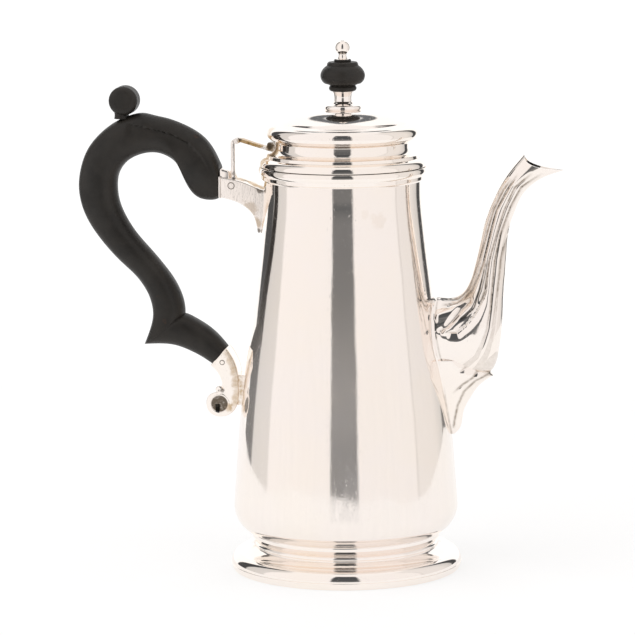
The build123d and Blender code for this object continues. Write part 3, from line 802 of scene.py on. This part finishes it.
# The spout's inner side, its outer side opposite, and the half width there
SPOUT = [
    ((36, 124.5), (38, 87.6), 12.5),
    ((44, 124.4), (54, 87.8), 12.4),
    ((51, 125.2), (66.5, 89.6), 11.6),
    ((55.8, 129.8), (70.8, 100.5), 10.4),
    ((58.6, 137.6), (72.4, 115), 9.0),
    ((60.4, 145), (72.8, 130), 7.8),
    ((61.9, 152), (73.7, 146), 6.9),
    ((64, 160.2), (75.2, 157.5), 6.0),
    ((66.9, 167.6), (77.4, 163.8), 5.5),
    ((70.5, 175), (80.2, 170.2), 5.2),
    ((74.6, 181.4), (84.2, 175), 5.1),
    ((79.4, 187.2), (90, 178.9), 5.0),
    ((85, 193.5), (98.9, 182.1), 4.4),
]
MOUTH_CUT = [(81.2, 189.0), (82.3, 186.7), (85.0, 184.8), (89.6, 183.4), (104, 182.2)]
# Lines between the flutes, from the mouth down: (line, half width, depth)
FLUTES = [
    ([(76.4, 179.2), (72.1, 173.8), (67.6, 164.7), (61.5, 142.1), (57.0, 128.5), (53.8, 125.3), (51.6, 124.3),
      (43.9, 124.0)], 1.5, 0.6),
    ([(79.2, 181.3), (75.0, 175.1), (69.1, 164.7), (63.7, 142.1), (58.6, 128.5), (55.6, 124.8), (51.6, 122.5),
      (44.4, 121.8)], 1.7, 0.75),
    ([(85.7, 181.5), (77.7, 174.9), (73.1, 164.8), (66.2, 142.2), (64.4, 128.6), (61.9, 122.6)], 1.9, 0.8),
    ([(90.4, 181.5), (80.7, 174.9), (75.9, 166.1), (71.4, 153.5), (68.9, 142.2), (67.7, 128.6), (67.2, 120.2),
      (65.7, 111.1), (63.2, 104.3), (60.6, 98.5), (55.7, 94.1), (52.6, 91.2)], 1.9, 0.75),
    ([(74.2, 154.0), (71.6, 142.2), (70.3, 129.3), (69.4, 120.3), (68.4, 111.2), (67.4, 106.6), (65.5, 100.4),
      (61.8, 93.6), (58.8, 88.9), (54.5, 86.0), (49.5, 81.6)], 1.7, 0.7),
    ([(65.0, 142.8), (62.4, 129.2), (59.7, 121.0), (56.1, 117.4), (52.9, 115.1)], 1.1, 0.3),
]
LEAF_EDGE = [(65.4, 136.0), (64.8, 130.1), (62.8, 123.3), (59.7, 117.9), (55.6, 113.3), (51.9, 110.2),
             (47.5, 110.4)]
LEAF_MIDDLE = [(62.6, 135.0), (60.6, 127.0), (57.6, 120.8), (53.4, 115.6), (50.0, 112.4), (47.2, 111.2)]
UPPER_ROLL = [(59.5, 134.0), (57.0, 126.5), (53.5, 121.8), (49.5, 119.0), (44.0, 117.2)]
LEAF_TOP = [(59.0, 127.5), (57.4, 123.5), (53.4, 120.0), (49.8, 115.3), (47.5, 112.7), (44.8, 110.9)]


def fluted(points, outward):
    """Cuts the flutes and the leaf into the spout's sides. Returns the points and their stain_and_shade:
    tarnish and dirt along the flutes and beside the fillet, and painted dark reflections along the leaf.
    """
    flat = points[:, [0, 2]]
    cut, stain_and_shade = np.zeros(len(points)), np.zeros(len(points))
    for line, half, depth in FLUTES:
        gap, along, _ = from_line(flat, line)
        fade = rising(along, 0.08) * rising(1 - along, 0.05)
        cut += depth * fade * falling(gap, half) ** 1.8
        stain_and_shade += fade * stroke(gap, 0.55)
    # A channel under the leaf's edge, and the side falling away below it
    gap, along, side = from_line(flat, LEAF_EDGE)
    grown = rising(along, 0.45) * rising(1 - along, 0.05)
    width = 1.2 + 3.0 * rising(along, 0.6)
    channel = 1.0 * rising(gap, 0.4) * rising(width - gap, width - 0.4)
    fall = 1.3 * (1 - np.exp(-np.clip(gap - width * 0.8, 0, None) / 7))
    cut += np.where(side > 0, channel * grown + fall * rising(along, 0.3), 0)
    # A dark line painted along the leaf's edge: a painted dark reflection
    stain_and_shade += 0.6 * stroke(gap, 0.4)
    # The groove over the leaf, then the two rounds that stand out
    gap, along, _ = from_line(flat, LEAF_TOP)
    cut += 1.1 * falling(gap, 2.0) ** 1.3 * rising(along, 0.2)
    # A painted dark reflection along the groove over the leaf
    stain_and_shade += 0.5 * stroke(gap, 0.6)
    for line, height, half in ((LEAF_MIDDLE, 0.7, 2.8), (UPPER_ROLL, 0.9, 3.2)):
        gap, along, _ = from_line(flat, line)
        cut -= height * np.clip(1 - (gap / half) ** 2, 0, 1) ** 2 * rising(along, 0.3)
    # A raised fillet along the body's wall, with dirt beside it
    above_wall = np.hypot(points[:, 0], points[:, 1]) - wall_radius(points[:, 2])
    seam = falling(above_wall, 1.6)
    cut = cut * (1 - seam) - 0.7 * seam ** 2
    stain_and_shade = stain_and_shade * (1 - seam) + 0.6 * stroke(above_wall - 1.7, 0.35)
    return points - outward * cut[:, None], np.clip(stain_and_shade, 0, 1)


def spout_rings(inset, count=230, around=230):
    """Rings of the spout from the body's wall to the mouth's cut, each section smaller by inset."""
    mouth = np.array(curve(MOUTH_CUT, spacing=0.5))
    shape = paired(SPOUT)
    turns = np.arange(around) * 2 * pi / around

    def section(shares):
        rows = shape(shares.ravel())
        inner, outer, half = rows[:, :2], rows[:, 2:4], rows[:, 4]
        reach = (inner - outer) / 2
        deep = np.linalg.norm(reach, axis=1)
        turn = np.broadcast_to(turns, shares.shape).ravel()
        flat = (inner + outer) / 2 + reach * ((deep - inset) / deep * np.cos(turn))[:, None]
        points = np.stack([flat[:, 0], (half - inset) * np.sin(turn), flat[:, 1]], axis=1)
        outward = np.stack([reach[:, 0] / deep * np.cos(turn) / deep, np.sin(turn) / half,
                            reach[:, 1] / deep * np.cos(turn) / deep], axis=1)
        return points, outward / np.linalg.norm(outward, axis=1)[:, None]

    # Where each line along the spout leaves the body's wall and meets the mouth's cut
    probe = np.linspace(0, 1, 900)
    points = section(np.repeat(probe[:, None], around, axis=1))[0].reshape(900, around, 3)
    outside = np.hypot(points[..., 0], points[..., 1]) > wall_radius(points[..., 2]) - SINK
    start = probe[outside.argmax(0)]
    open_top = points[..., 2] > np.interp(points[..., 0], mouth[:, 0], mouth[:, 1], left=189.0)
    open_top &= probe[:, None] > 0.8
    end = np.where(open_top.any(0), probe[open_top.argmax(0)], 1.0)
    share = np.linspace(0, 1, count)[:, None]
    shares = share + start * (1 - share) ** 6 + (end - 1) * share ** 6
    points, outward = section(shares)
    stain_and_shade = np.full(len(points), 0.3)          # the inside is evenly stained
    if inset == 0:
        points, stain_and_shade = fluted(points, outward)
    return list(points.reshape(count, around, 3)), list(stain_and_shade.reshape(count, around))


DROP_FRONT = [(67.9, 89.3), (61.4, 84.6), (56.9, 78.4), (53.9, 72.0), (52.3, 64.8), (49.6, 61.8)]
DROP_LINE = [(66.0, 90.5), (60.0, 87.5), (54.8, 82.5), (51.8, 76.0), (50.4, 70.0), (49.4, 64.5)]
# Half widths of the tail at some heights
DROP_WIDTH = [(61.8, 0.6), (66, 3.0), (72, 5.0), (78, 6.6), (85, 8.4), (92, 10.0), (97, 11.0)]
DROP_LOW, DROP_HIGH = 62.0, 97.0


def drop_rings(count=110, around=90):
    """Level rings of the tail under the spout, from its tip up into the spout, and how stained they are."""
    front = np.array(curve(DROP_FRONT, spacing=0.3))[::-1]
    front_x, front_z = DROP_FRONT[0]
    width = np.array(curve(DROP_WIDTH, spacing=0.5))
    rings = []
    for z in np.linspace(DROP_LOW, DROP_HIGH, count):
        low = wall_radius(z) - SINK
        reach = np.interp(z, front[:, 1], front[:, 0])
        if z > front_z:
            reach = front_x - (z - front_z) * 1.2
        half = np.interp(z, width[:, 0], width[:, 1])
        turns = np.linspace(-pi / 2, pi / 2, around)
        x = low + (reach - low) * power(np.cos(turns), 0.8)
        y = half * np.sin(turns)
        back = np.linspace(half, -half, 12)[1:-1]
        x = np.concatenate([x, np.full(len(back), low)])
        y = np.concatenate([y, back])
        on_wall = np.sqrt(low ** 2 - y ** 2)
        x = np.maximum(x - low + on_wall, on_wall)
        rings.append(np.stack([x, y, np.full(len(x), z)], axis=1))
    points = np.array(rings).reshape(-1, 3)
    cut, stain_and_shade = np.zeros(len(points)), np.zeros(len(points))
    for line, half, depth in ((FLUTES[3][0], 1.6, 0.6), (FLUTES[4][0], 1.7, 0.7), (DROP_LINE, 1.8, 0.5)):
        gap, along, _ = from_line(points[:, [0, 2]], line)
        fade = rising(1 - along, 0.06)
        cut += depth * fade * falling(gap, half) ** 1.6
        stain_and_shade += fade * stroke(gap, 0.5)
    points[:, 1] -= np.sign(points[:, 1]) * np.minimum(cut, np.abs(points[:, 1]))
    above_wall = np.hypot(points[:, 0], points[:, 1]) - wall_radius(points[:, 2])
    stain_and_shade += 0.6 * stroke(above_wall - 0.2, 0.3)
    return list(points.reshape(count, -1, 3)), np.clip(stain_and_shade, 0, 1)


def stained(thing, stain_and_shade):
    """Gives the mesh its stain_and_shade attribute of tarnish and painted dark reflections, one value a
    point.
    """
    values = thing.data.attributes.new("stain_and_shade", "FLOAT", "POINT")
    values.data.foreach_set("value", np.array(stain_and_shade, np.float32))


outer_rings, outer_stain_and_shade = spout_rings(0)
inner_rings, inner_stain = spout_rings(SPOUT_WALL)
spout_shell = ring_shell(outer_rings + inner_rings[::-1], closed=True)
spout_form = piece("spout", spout_shell, "pot", spout_silver, ("spout_right_half", "spout_left_half"))
stained(spout_form, np.concatenate([*outer_stain_and_shade, *reversed(inner_stain)]))
drop, drop_stain = drop_rings()
stained(piece("spout_drop", ring_shell(drop), "pot", spout_silver), drop_stain)

# ---- CAD nodes that stay ----

for material, names in (
        (hinge_silver, ("hinge_pin", "stand_knuckles", "lid_knuckle", "lid_arm")),
        (turned_silver, ("bottom_plate", "lid_bezel", "finial_nut", "upper_socket_pin", "lower_socket_pin"))):
    for name in names:
        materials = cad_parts[name].data.materials
        materials.clear()
        materials.append(material)

# ---- Floor, light and camera ----

CAMERA_AT = Vector((0.2180, -1.6392, 0.3736))
LAMP_AIM = Vector((0, 0, 0.1))
FLOOR_HALF = 0.44
FLOOR_BACK, FLOOR_BEND = 0.45, -0.25           # the front edge is half an ellipse from FLOOR_BEND on
FLOOR_BOW = 0.37                               # how far that ellipse reaches forward


def pale_floor():
    """A sheet of pale paper with a rounded front edge, lit partly from below as on a light table."""
    corners = [(FLOOR_HALF, FLOOR_BACK), (-FLOOR_HALF, FLOOR_BACK), (-FLOOR_HALF, FLOOR_BEND)]
    corners += [(-FLOOR_HALF * cos(turn), FLOOR_BEND - FLOOR_BOW * sin(turn))
                for turn in np.linspace(0, pi, 33)[1:-1]]
    corners += [(FLOOR_HALF, FLOOR_BEND)]
    mesh = bpy.data.meshes.new("floor")
    mesh.from_pydata([(x, y, 0) for x, y in corners], [], [list(range(len(corners)))])
    material, tree, shader, place = new_material("floor_paper")
    tree.links.new(mix(tree, noise(tree, place, 3), grey(0.40), grey(0.43)), shader.inputs["Base Color"])
    shader.inputs["Roughness"].default_value = 0.8
    shader.inputs["Specular IOR Level"].default_value = 0.0
    shader.inputs["Emission Color"].default_value = (1, 1, 1, 1)
    shader.inputs["Emission Strength"].default_value = 0.63
    mesh.materials.append(material)
    floor = placed("floor", mesh)


def ramp(tree, value, stops):
    """Colour ramp over value, with (place, colour) stops."""
    made = node(tree, "ShaderNodeValToRGB", {"Fac": value})
    elements = made.color_ramp.elements
    elements[0].position, elements[1].position = stops[0][0], stops[-1][0]
    elements[0].color, elements[1].color = (*stops[0][1], 1), (*stops[-1][1], 1)
    for place, colour in stops[1:-1]:
        elements.new(place).color = (*colour, 1)
    return made.outputs["Color"]


def grey(amount):
    return amount, amount, amount


def level(degrees):
    """Place on the studio's upright ramp of a height above the horizon, in degrees."""
    return 0.5 + degrees / 180


def at(degrees):
    """Place on the studio's ramp of a direction, in degrees to the right of the camera seen from the pot."""
    return 0.5 + degrees / 360


RING_UP, RING_HALF_WIDTH, RING_HALF_HEIGHT = 42.0, 14.0, 17.0      # in degrees


def studio():
    """Softboxes on both sides with a dark gap where the camera stands, dark seams behind, and white paper."""
    world = bpy.data.worlds.new("studio")
    bpy.context.scene.world = world
    world.use_nodes = True
    tree = world.node_tree
    background = tree.nodes["Background"]
    direction = node(tree, "ShaderNodeTexCoord").outputs["Generated"]
    parts = node(tree, "ShaderNodeSeparateXYZ", {0: direction}).outputs
    gap = Vector((CAMERA_AT.x, CAMERA_AT.y, 0)).normalized()
    ahead = measure(tree, "DOT_PRODUCT", direction, tuple(gap))
    aside = measure(tree, "DOT_PRODUCT", direction, (-gap.y, gap.x, 0))
    angle = calculate(tree, "ARCTAN2", aside, ahead)
    turn = add(tree, calculate(tree, "DIVIDE", angle, 2 * pi), 0.5)
    rise = add(tree, calculate(tree, "DIVIDE", calculate(tree, "ARCSINE", parts[2]), pi), 0.5)
    bright, panel, seam, paper = (1.01, 0.985, 0.98), (0.76, 0.74, 0.725), (0.07, 0.072, 0.075), grey(1.15)
    sides = ramp(tree, turn, [
        (0.0, paper), (at(-139), paper), (at(-138), seam), (at(-120), seam), (at(-118.5), (0.70, 0.69, 0.68)),
        (at(-91), panel), (at(-89.5), bright), (at(79.5), (0.97, 0.945, 0.935)), (at(81), (0.66, 0.63, 0.61)),
        (at(82.5), (0.88, 0.855, 0.84)), (at(112), (0.86, 0.83, 0.81)), (at(129), (0.66, 0.65, 0.64)),
        (at(130.5), seam), (at(141.5), seam), (at(143), paper), (1.0, paper)])
    hole = ramp(tree, turn, [(0.0, grey(0)), (at(-16.8), grey(0)), (at(-15.2), grey(1)), (at(12.0), grey(1)),
                             (at(13.5), grey(0)), (1.0, grey(0))])
    depth = ramp(tree, rise, [(level(-90), (0.60, 0.58, 0.56)), (level(-16), (0.36, 0.35, 0.34)),
                              (level(-9), grey(0.20)), (level(-1), (0.11, 0.115, 0.12)),
                              (level(5), grey(0.20)), (level(12), (0.09, 0.095, 0.10)),
                              (level(90), (0.06, 0.065, 0.07))])
    low = mix(tree, hole, sides, depth)
    # A dark ring high up behind the pot
    from_front = calculate(tree, "ABSOLUTE", times(tree, angle, 180 / pi))
    across = calculate(tree, "DIVIDE", calculate(tree, "SUBTRACT", 180.0, from_front), RING_HALF_WIDTH)
    height = times(tree, calculate(tree, "SUBTRACT", rise, 0.5), 180.0)
    above = calculate(tree, "DIVIDE", calculate(tree, "SUBTRACT", height, RING_UP), RING_HALF_HEIGHT)
    reach = calculate(tree, "SQRT", add(tree, times(tree, across, across), times(tree, above, above)))
    ring = ramp(tree, reach, [(0.0, grey(0)), (0.45, grey(0)), (0.6, grey(1)), (0.92, grey(1)),
                              (1.0, grey(0))])
    low = mix(tree, ring, low, (0.16, 0.17, 0.18))
    top = ramp(tree, rise, [(0.0, grey(0)), (level(57), grey(0)), (level(62), grey(1)), (1.0, grey(1))])
    reflected = mix(tree, top, low, (1.0, 0.98, 0.97))
    seen = node(tree, "ShaderNodeLightPath").outputs["Is Camera Ray"]
    tree.links.new(mix(tree, seen, reflected, grey(1.08)), background.inputs["Color"])


def lamp(name, place, size, energy):
    """A soft lamp that lights the pot and the floor but doesn't show in the silver."""
    light = bpy.data.lights.new(name, "AREA")
    light.shape = "RECTANGLE"
    light.size, light.size_y = size
    light.energy = energy
    thing = placed(name, light)
    thing.location = place
    thing.rotation_euler = (LAMP_AIM - Vector(place)).to_track_quat("-Z", "Y").to_euler()
    thing.visible_glossy = False


def camera():
    """A long lens, looking down a little on the pot from its right side."""
    seen = bpy.data.cameras.new("camera")
    seen.lens = 209.8
    seen.sensor_width = 36.0
    seen.clip_end = 20
    thing = placed("camera", seen)
    turn = Matrix.Identity(4)
    for degrees, axis in ((8, "Z"), (81.10, "X"), (-0.52, "Z")):
        turn = turn @ Matrix.Rotation(radians(degrees), 4, axis)
    thing.matrix_world = Matrix.Translation(CAMERA_AT) @ turn
    bpy.context.scene.camera = thing


pale_floor()
studio()
lamp("high_left", (-1.0, -0.4, 1.6), (1.8, 1.8), 6)
camera()
bpy.context.scene.view_settings.view_transform = "Standard"
